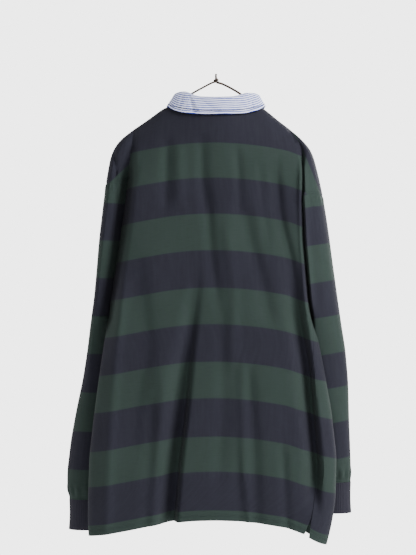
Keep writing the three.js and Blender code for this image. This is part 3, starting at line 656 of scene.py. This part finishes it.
jersey = jersey_finish("jersey")
thread_finish, thread_shader = new_finish("thread", 0.7)
thread_shader.inputs["Base Color"].default_value = (0.016, 0.022, 0.022, 1)
dark_thread, dark_thread_shader = new_finish("dark thread", 0.7)
dark_thread_shader.inputs["Base Color"].default_value = (0.0065, 0.0065, 0.0110, 1)

for face in ("back", "front"):
    main, main_map = panel_grid(face)
    tabs = [tab_grid(face, side, main) for side in ("left", "right")]
    panel = cloth_piece(f"{face}_panel", [(main, main_map), *tabs], cloth_thickness)
    panel.data.materials.append(jersey)
    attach(panel, "root")
    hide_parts(face)
    outer_side = grid_side(main, face)
    hem_rows = [cloth_line(main, len(main) - 1 - up, outer_side) for up in (4.6, 6.2)]
    stitch_thread(f"{face}_hem_stitches", hem_rows, 0.55, 2.4, 0.7, thread_finish, face)
    seam_rows = []
    for points, _ in tabs:
        seam_rows += [cloth_line(points, len(points) - 1 - up, grid_side(points, face)) for up in (0.9, 1.8)]
    stitch_thread(f"{face}_armhole_stitches", seam_rows, 0.5, 2.4, 0.8, dark_thread, face)

# Each sleeve is one piece of the same jersey. It is set into the armhole down to the underarm,
# closed below it by its own seam, and hangs a little forward in front of the body's edge.

# The cuffs that gather them: top, bottom, outer edge, width.
cuff_sizes = {"left": (-833, -893, 290, 62), "right": (-799, -860, 267, 62)}
cuff_depth, cuff_middle = 25, -76
gather_length, gather_puffs = 34, 13
stripe_tilt = {"left": 0.0, "right": 0.15}
sleeve_stripes = {
    "left": [-176, -206, -250.1, -322.3, -394.9, -468.9, -543.2, -619.8, -697, -772.6, -845],
    "right": [-180, -233, -255.2, -328.9, -400.7, -467.8, -540.2, -607.8, -676, -748.5, -820],
}


def cuff_points(side, z, angle):
    top, bottom, outer, width = cuff_sizes[side]
    sign = 1 if side == "left" else -1
    x = sign * (outer - width / 2 - width / 2 * np.cos(angle))
    return np.stack([x, cuff_middle + cuff_depth * np.sin(angle), z + 0 * x], -1)


def sleeve_grid(side):
    top = tab_end[side] + 5
    bottom = cuff_sizes[side][0] + 0.4
    z = np.linspace(top, bottom, 170)[:, None]
    t = np.linspace(0, 1, 97)[None, :]
    start = np.where(z > underarm_level, sleeve_start(z), 0)
    angle = start + (2 * np.pi - 2 * start) * t
    points = sleeve_points(side, z + 0 * t, angle, 2.5)
    sign = 1 if side == "left" else -1
    around = np.stack([-sign * np.cos(angle), np.sin(angle)], -1)
    lapped = smooth_step((z - tab_end[side] + 3) / 3)
    points[..., :2] -= around * (lapped + 0 * t)[..., None]
    gather = smooth_step((bottom + gather_length - z) / gather_length)
    cuff = cuff_points(side, z + 0 * t, angle)
    puffs = 1 + 0.05 * np.sin(gather_puffs * angle + 0.7) * gather * (1 - gather) * 4
    middle = np.array([cuff[..., 0].mean(), cuff_middle])
    points[..., :2] = points[..., :2] + (cuff[..., :2] - points[..., :2]) * (gather ** 2)[..., None] * 0.94
    points[..., :2] = middle + (points[..., :2] - middle) * np.where(gather > 0, puffs, 1)[..., None]
    pucker = 0.7 * np.sin(angle * 17 + 3 * np.sin(angle * 3)) * np.exp(-((z - tab_end[side] + 7) / 6) ** 2)
    points[..., :2] += around * pucker[..., None]
    slack = undulation(angle * 40, z * 1.3, 1.1 if side == "left" else 2.9) * smooth_step((top - z) / 40)
    points[..., :2] += around * (slack * (1 - gather))[..., None]
    closed = z[:, 0] <= underarm_level
    points[closed, -1] = points[closed, 0]
    outward = np.abs(points[..., 0]) - outline[side](z) + 15
    level = z - stripe_tilt[side] * outward
    lines = sleeve_stripes[side]
    count = np.interp(-level, -np.array(lines), np.arange(len(lines))) + 1
    uv = np.stack([angle * 0.036, count], -1)
    if side == "right":
        points, uv = points[:, ::-1], uv[:, ::-1]
    return points, uv


for side in ("left", "right"):
    sleeve = cloth_piece(f"{side}_sleeve", [sleeve_grid(side)], cloth_thickness)
    sleeve.data.materials.append(jersey)
    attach(sleeve, "root")
    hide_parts(f"sleeve_{side}")

# The cuffs are tubes of navy one-and-one rib, knitted close and folded double. They draw the
# sleeves in, narrow a little at their waist, and their ribs run down the arm.
rib_count = 54


def rib_grid(side):
    top, bottom = cuff_sizes[side][:2]
    z = np.linspace(top, bottom, 26)[:, None]
    angle = np.linspace(0, 2 * np.pi, rib_count * 6 + 1)[None, :]
    points = cuff_points(side, z + 0 * angle, angle + 0 * z)
    sign = 1 if side == "left" else -1
    around = np.stack([-sign * np.cos(angle), np.sin(angle)], -1)
    down = (top - z) / (top - bottom)
    waist = -1.2 * np.sin(np.pi * down) + 0.8 * down
    ribs = 0.45 * np.abs(np.sin(rib_count * angle / 2)) ** 0.7
    points[..., :2] += around * (waist + ribs)[..., None]
    points[:, -1] = points[:, 0]
    uv = np.stack([angle * 0.03 + 0 * z, down + 0 * angle], -1)
    if side == "right":
        points, uv = points[:, ::-1], uv[:, ::-1]
    return points, uv


rib, rib_shader = new_finish("rib", 0.95, 0.04)
rib_flecks = mottle(rib, 1200.0, 2.0)
rib_colour = mix_colours(rib, rib_flecks, (0.0085, 0.0082, 0.0130), (0.0150, 0.0145, 0.0210))
rib.node_tree.links.new(rib_colour, rib_shader.inputs["Base Color"])
raise_pattern(rib, rib_shader, rib_flecks, 0.4, 0.0003)

for side in ("left", "right"):
    cuff = cloth_piece(f"{side}_cuff", [rib_grid(side)], 2)
    cuff.data.materials.append(rib)
    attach(cuff, "root")
    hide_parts(f"cuff_{side}")

# The collar is cut from thin white shirting with blue lines woven along it. Its stand rises from
# the neck seam, rolls over, and the fall comes down outside as far as the seam, longer at the front.

# Degrees from the back's middle, top, the fall's edge, how far roll and fall stand out, shift outwards.
collar_rows = [
    (0, -47, -80, 5, 8, 0), (25, -46, -79.5, 5, 8, 0), (45, -38, -77, 5, 9, 0), (65, -38, -71, 6, 12, 0),
    (90, -42, -58.5, 6, 16, 0), (102, -48, -67, 6, 15, 0), (115, -60, -92, 6, 15, 0),
    (140, -86, -140, 6, 11, 4), (165, -105, -170, 6, 10, 16), (176, -108, -182, 6, 10, 32),
]
collar_top, collar_edge, collar_roll = [fair(collar_rows, column, 4) for column in (1, 2, 3)]
collar_out, collar_shift = [fair(collar_rows, column, 4) for column in (4, 5)]
# The stand's section: step, share of the height, share of the roll.
stand_rows = [
    (0, 0, 0), (5, 0.5, -0.15), (9, 0.86, 0.0), (11, 0.98, 0.25), (12, 1.0, 0.5), (14, 0.97, 0.85),
    (16, 0.88, 1.0),
]
# The fall's creases: degrees, lean down the fall, width, height.
collar_creases = [
    (-38, 8, 2.6, -1.5), (-33, 14, 3.2, 1.0), (-24, 30, 3.2, -0.8), (-50, -6, 2.6, -1.0),
    (-70, 14, 2.8, -1.0), (38, -14, 3, -0.8), (58, -8, 2.8, -1.0), (22, -12, 3.6, -0.5),
    (120, -10, 4, -1.2), (-118, 12, 4, -1.2),
]


def collar_grid():
    angle = np.linspace(-176, 176, 241)
    size = np.abs(angle)
    radians = np.radians(angle)
    x = -neck_half_width * np.sin(radians)
    base = np.where((size <= 90)[:, None], neck_edge("back", x), neck_edge("front", x))
    base[:, 2] += 1.4
    out = np.stack([-np.sin(radians) / 2, np.cos(radians), 0 * radians], -1)
    out /= np.linalg.norm(out, axis=-1)[:, None]
    top = collar_top(size) + 2.6 * np.exp(-((angle + 50) / 18) ** 2) - 5 * np.exp(-((angle + 84) / 9) ** 2)
    rows = []
    places = []
    for step in np.linspace(0, 16, 25):
        rise = float(np.interp(step, [r[0] for r in stand_rows], [r[1] for r in stand_rows]))
        over = float(np.interp(step, [r[0] for r in stand_rows], [r[2] for r in stand_rows]))
        point = base + out * (over * collar_roll(size))[:, None]
        point[:, 2] = base[:, 2] + (top - base[:, 2]) * rise
        rows.append(point)
        places.append(-0.03 + 0.03 * step / 16 + 0 * size)
    rolled = rows[-1].copy()
    fall_length = rolled[:, 2] - collar_edge(size)
    for fall in np.linspace(0, 1, 25)[1:]:
        point = rolled + out * (fall * (collar_out(size) - collar_roll(size)))[:, None]
        point[:, 2] = rolled[:, 2] - fall_length * fall
        point[:, 0] += np.sign(x) * collar_shift(size) * fall
        ripple = 0.7 * np.sin(angle / 9 + 2 * fall) * np.sin(fall * np.pi) + 0.4 * np.sin(angle / 4.3)
        crumple = np.zeros_like(angle)
        for place, lean, width, height in collar_creases:
            crumple += height * np.exp(-((angle - place - lean * fall) / width) ** 2)
        point += out * (ripple * fall + crumple * np.sin(np.pi * fall) ** 0.5)[:, None]
        rows.append(point)
        places.append(fall_length * fall * mm)
    points = np.stack(rows)
    v = np.stack(places)
    v = v - v[-1]
    run = np.radians(angle)[None, :] * 0.075
    return points, np.stack([run + 0 * v, v], -1)


shirting_white, shirting_blue = (0.48, 0.50, 0.62), (0.012, 0.026, 0.20)
line_pitch, line_wave, thread_pitch = 0.0042, 0.061, 0.0007
shirting, shirting_shader = new_finish("shirting", 0.85, 0.1)
round_neck, down_fall = map_places(shirting)
wave = maths(shirting, "SINE", maths(shirting, "MULTIPLY", round_neck, 2 * math.pi / line_wave))
waved = maths(shirting, "MULTIPLY_ADD", wave, 0.0005, down_fall)
lines = maths(shirting, "PINGPONG", waved, line_pitch / 2)
thin = maths(shirting, "MULTIPLY_ADD", lines, -2600, 2.7, clamp=True)
shirting_colour = mix_colours(shirting, thin, shirting_white, shirting_blue)
shirting.node_tree.links.new(shirting_colour, shirting_shader.inputs["Base Color"])
weave_rate = 2 * math.pi / thread_pitch
threads = maths(shirting, "SINE", maths(shirting, "MULTIPLY", round_neck, weave_rate))
picks = maths(shirting, "SINE", maths(shirting, "MULTIPLY", down_fall, weave_rate))
raise_pattern(shirting, shirting_shader, maths(shirting, "MULTIPLY", threads, picks), 0.25, 0.0001)

collar_points, collar_map = collar_grid()
collar = cloth_piece("shirt_collar", [(collar_points, collar_map)], 1.5)
collar.data.materials.append(shirting)
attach(collar, "root")
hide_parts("collar")
# The collar's edge stitch, about 7 mm above the fall's edge, is two close, nearly unbroken rows of
# near-black blue thread. They are partly a real edge stitch and partly painted shade: being bold and dark,
# they also stand for the shadow in the stitch's groove.
stitch_and_groove_shade_finish, stitch_and_groove_shade_shader = new_finish("blue thread with painted groove shade", 0.7)
stitch_and_groove_shade_shader.inputs["Base Color"].default_value = (0.007, 0.011, 0.040, 1)
collar_stitch_and_shade_rows = [cloth_line(collar_points, len(collar_points) - 1 - up, 1.0, 0.85) for up in (5, 5.5)]
stitch_thread("collar_stitches_with_groove_shade", collar_stitch_and_shade_rows, 0.8, 2.3, 0.2, stitch_and_groove_shade_finish, "collar")

# The hanger is one bent wire. It runs from the hook's end over the hook, down the right arm, round
# the right tip, along the bar, back over the left tip and arm, and ends in a coil round the neck.
hook_radius, wire_radius, bar_level = 8, 1.5, -148
under_cloth, coil_radius = 3.4, 3.4
old_lacquer, bare_rust = (0.012, 0.007, 0.004), (0.055, 0.034, 0.022)
hook_centre = hook_radius + wire_radius
hook_turns = [math.pi * (1 - step / 12) for step in range(13)]
wire_path = [(0, -2 * hook_centre - 1, -hook_radius - 4)]
wire_path += [
    (0, -hook_centre + hook_centre * math.cos(turn), -hook_radius + hook_centre * math.sin(turn))
    for turn in hook_turns
]
wire_path += [(0, 0, -11.5), (-1.5, 0, -14.2), (-5.5, 0, -15.6)]
wire_path += [(-11, 0, -16.8), (-25, 0, -23.4), (-46, 0, -35.4)]
wire_path += [(x, 0, float(ridge_height(x)) - under_cloth) for x in (-78, -95, -119, -144)]
wire_path += [(-155, 0, -120.5), (-162, 0, -128), (-164, 0, -136), (-161, 0, -144), (-153, 0, -149)]
wire_path += [(x, 0, bar_level - 2) for x in range(-130, 160, 40)]
wire_path += [(171, 0, -149), (180, 0, -144), (183, 0, -136), (181, 0, -128), (173, 0, -120.5)]
wire_path += [(x, 0, float(ridge_height(x)) - under_cloth) for x in (160, 132, 105, 84)]
wire_path += [(46, 0, -35.4), (24, 0.8, -23.6), (10, 2.6, -16.4), (4, 3.3, -14.2)]
coil_turns = [2 * math.pi * step / 20 for step in range(31)]
wire_path += [
    (-coil_radius * math.sin(turn), coil_radius * math.cos(turn), -13.5 + 0.18 * step)
    for step, turn in enumerate(coil_turns)
]
bpy.ops.object.select_all(action="DESELECT")
bpy.ops.curve.primitive_nurbs_path_add(location=(0, 0, 0))
hanger = bpy.context.object
hanger.name = "hanger_wire"
hanger.data.splines.clear()
spline = hanger.data.splines.new("NURBS")
spline.points.add(len(wire_path) - 1)
for place, (x, y, z) in zip(spline.points, wire_path):
    place.co = (x * mm, (y + hang_shift) * mm, z * mm, 1)
    place.radius = 1.45 if -50 < x < 3 and y <= 0 and z > -40 else 1.2
spline.order_u = 3
spline.use_endpoint_u = True
spline.resolution_u = 6
hanger.data.bevel_depth = wire_radius * mm
hanger.data.bevel_resolution = 5
hanger.data.use_fill_caps = True
bpy.ops.object.convert(target="MESH")
hanger = bpy.context.object
bpy.ops.object.shade_smooth()
wire_finish, wire_shader = new_finish("wire", 0.38)
wire_shader.inputs["Metallic"].default_value = 0.25
wire_shader.inputs["Specular IOR Level"].default_value = 0.3
worn = maths(wire_finish, "MULTIPLY_ADD", mottle(wire_finish, 160.0, 3.0), 3.0, -1.25, clamp=True)
wire_colour = mix_colours(wire_finish, worn, old_lacquer, bare_rust)
wire_finish.node_tree.links.new(wire_colour, wire_shader.inputs["Base Color"])
hanger.data.materials.append(wire_finish)
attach(hanger, "root")
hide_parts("hanger")

# The placket is a folded strip of plain navy twill down the front's slit, with an edge stitch
# on both sides and a stitched box at its foot.
placket_width, placket_top, placket_foot = 32, -132, -300
placket_thickness = 1.6


def placket_grid():
    z = np.linspace(placket_top, placket_foot, 120)[:, None]
    across = np.linspace(1, -1, 41)[None, :]
    x = across * placket_width / 2 + 0 * z
    lift = cloth_thickness / 2 + 0.3 + placket_thickness / 2 + 1.8 * np.exp((z - neck_level["front"]) / 14)
    y = panel_depth("front", x, z + 0 * x) - lift
    edge = np.minimum(placket_width / 2 - np.abs(x), z - placket_foot)
    y = y + 0.5 * smooth_step(1 - edge / 1.2) + 0.35 * np.exp(-((edge - 2.4) / 0.5) ** 2)
    points = np.stack([x, y, z + 0 * x], -1)
    return points, np.stack([x * mm, z * mm + 0 * x], -1)


placket_points, placket_map = placket_grid()
placket = cloth_piece("front_placket", [(placket_points, placket_map)], placket_thickness)
twill_dark, twill_light, twill_pitch = (0.0065, 0.0065, 0.011), (0.0095, 0.0095, 0.0150), 0.0008
twill, twill_shader = new_finish("placket", 0.9, 0.02)
diagonal = maths(twill, "ADD", *map_places(twill))
ridges = maths(twill, "SINE", maths(twill, "MULTIPLY", diagonal, 2 * math.pi / twill_pitch))
twill_share = maths(twill, "MULTIPLY_ADD", ridges, 0.5, 0.5)
twill_colour = mix_colours(twill, twill_share, twill_dark, twill_light)
twill.node_tree.links.new(twill_colour, twill_shader.inputs["Base Color"])
raise_pattern(twill, twill_shader, ridges, 0.3, 0.0001)
placket.data.materials.append(twill)
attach(placket, "root")
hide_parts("placket")
outer_side = grid_side(placket_points, "front")
sewn_box = [cloth_line(placket_points[:, 3:38], row, outer_side, 0.85) for row in (105, 117.3)]
upright = np.swapaxes(placket_points, 0, 1)[:, :118]
sewn_edges = [cloth_line(upright, column, -outer_side, 0.85) for column in (3, 37)]
stitch_thread("placket_stitches", sewn_box + sewn_edges, 0.5, 2.2, 0.6, dark_thread, "placket")

# The three buttons are moulded in a dark, nearly matt plastic. Each is a thin disc with a rounded
# rim, a shallow dish in its face and four holes, sewn flat against the placket.
button_finish, button_shader = new_finish("button", 0.6)
button_shader.inputs["Base Color"].default_value = (0.008, 0.008, 0.010, 1)
button_shader.inputs["Specular IOR Level"].default_value = 0.25
button_radius = 5.75
button_depth, dish_radius, dish_depth = 0.002, 0.0043, 0.0012
hole_radius, hole_place = 0.00062, 0.00125
for number, level in enumerate((-150, -205, -260), 1):
    face_y = float(panel_depth("front", np.array(0.0), np.array(float(level))))
    face_y += hang_shift - cloth_thickness / 2 - 0.3 - placket_thickness - 0.7
    centre = Vector((0, face_y * mm, level * mm))
    turn = (math.pi / 2, 0, 0)
    bpy.ops.mesh.primitive_cylinder_add(vertices=48, radius=button_radius * mm, depth=button_depth,
                                        location=centre + Vector((0, -0.001, 0)), rotation=turn)
    button = bpy.context.object
    button.name = f"button_{number}_disc"
    bpy.ops.object.transform_apply(location=True, rotation=True, scale=True)
    bpy.ops.mesh.primitive_cylinder_add(vertices=48, radius=dish_radius, depth=dish_depth,
                                        location=centre + Vector((0, -0.002, 0)), rotation=turn)
    cutters = [bpy.context.object]
    for across, up in ((1, 1), (1, -1), (-1, 1), (-1, -1)):
        hole = centre + Vector((hole_place * across, -0.001, hole_place * up))
        bpy.ops.mesh.primitive_cylinder_add(vertices=16, radius=hole_radius, depth=0.006,
                                            location=hole, rotation=turn)
        cutters.append(bpy.context.object)
    for cutter in cutters:
        cut = button.modifiers.new("cut", "BOOLEAN")
        cut.operation = "DIFFERENCE"
        cut.object = cutter
        bpy.context.view_layer.objects.active = button
        bpy.ops.object.modifier_apply(modifier=cut.name)
        bpy.data.objects.remove(cutter, do_unlink=True)
    rounded = button.modifiers.new("rim", "BEVEL")
    rounded.width = 0.0004
    rounded.segments = 3
    rounded.limit_method = "ANGLE"
    bpy.ops.object.modifier_apply(modifier=rounded.name)
    bpy.ops.object.select_all(action="DESELECT")
    button.select_set(True)
    bpy.ops.object.shade_smooth_by_angle(angle=0.6)
    button.data.materials.append(button_finish)
    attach(button, "root")
    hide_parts(f"button_{number}")

# The floor and the light: a pale round floor in a plain white room. The strongest lamp stands high at
# the camera's right, two weak ones beside the camera, one at the shirt's left, and two at its front.
floor_level, floor_radius = -1.35, 2.3
shirt_centre = Vector((0, 0, -0.45))
bpy.ops.object.select_all(action="DESELECT")
bpy.ops.mesh.primitive_circle_add(vertices=96, radius=floor_radius, fill_type="NGON",
                                  location=(0, 0, floor_level))
floor = bpy.context.object
floor.name = "floor"
floor_finish, floor_shader = new_finish("floor", 0.9)
floor_shader.inputs["Base Color"].default_value = (0.93, 0.93, 0.93, 1)
floor.data.materials.append(floor_finish)

world = bpy.data.worlds.new("studio")
bpy.context.scene.world = world
world.use_nodes = True
room = world.node_tree.nodes["Background"]
room.inputs["Color"].default_value = (1, 1, 1, 1)
seen = finish_node(world, "ShaderNodeLightPath")
brightness = maths(world, "MULTIPLY_ADD", seen.outputs["Is Camera Ray"], 3.52, 0.48)
world.node_tree.links.new(brightness, room.inputs["Strength"])


def lamp(name, place, size, power):
    data = bpy.data.lights.new(name, "AREA")
    data.shape = "RECTANGLE"
    data.size, data.size_y = size
    data.energy = power
    light = bpy.data.objects.new(name, data)
    light.location = place
    light.rotation_euler = (shirt_centre - Vector(place)).to_track_quat("-Z", "Y").to_euler()
    bpy.context.scene.collection.objects.link(light)


lamp("key", (-2.2, 1.4, 1.1), (1.5, 1.5), 292)
lamp("fill", (0.2, 3.8, 0.2), (1.6, 1.6), 52)
lamp("left_fill", (2.1, 3.0, 0.1), (1.2, 1.2), 12)
lamp("side", (3.0, -0.5, 0.4), (1.2, 1.2), 75)
lamp("front_key", (-1.9, -2.7, 1.0), (1.2, 1.2), 260)
lamp("front_fill", (0.9, -3.4, 0.4), (1.6, 1.6), 110)
